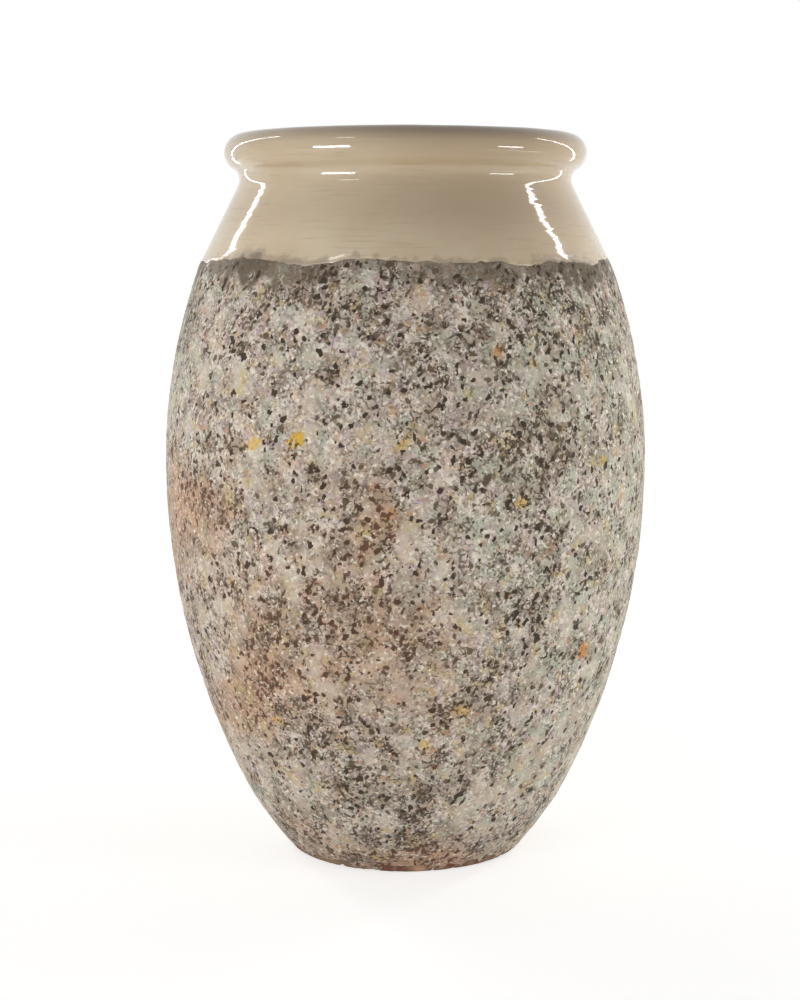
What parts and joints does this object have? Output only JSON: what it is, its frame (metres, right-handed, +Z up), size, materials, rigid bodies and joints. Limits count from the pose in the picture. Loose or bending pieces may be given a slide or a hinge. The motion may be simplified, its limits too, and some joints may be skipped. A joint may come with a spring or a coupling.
{
  "type": "olive jar",
  "caption": "Tall ovoid terracotta oil and olive jar with a glazed collar, a rolled rim, a narrow flat foot and a lime-crusted body.",
  "frame": {"origin": "centre of the foot, on the surface that the jar stands on", "axes": "+Z up along the jar's axis; +X and +Y are free, because the form is round; the pictured side faces -Y"},
  "size_m": [0.537, 0.537, 0.8],
  "materials": {
    "terracotta": "fired, unglazed",
    "slip": "fired clay slip",
    "cream_glaze": "glossy cream glaze",
    "lining_glaze": "glossy honey-cream glaze",
    "lime_crust": "rough lime and lichen crust"
  },
  "bodies": {
    "root": {"base_dish": "terracotta", "lower_wall": "terracotta", "belly_wall": "terracotta", "shoulder_wall": "terracotta", "collar": "terracotta", "rim_roll": "terracotta", "luting_slip": "slip", "collar_glaze": "cream_glaze", "inner_glaze": "lining_glaze", "patina_crust": "lime_crust"}
  },
  "joints": []
}
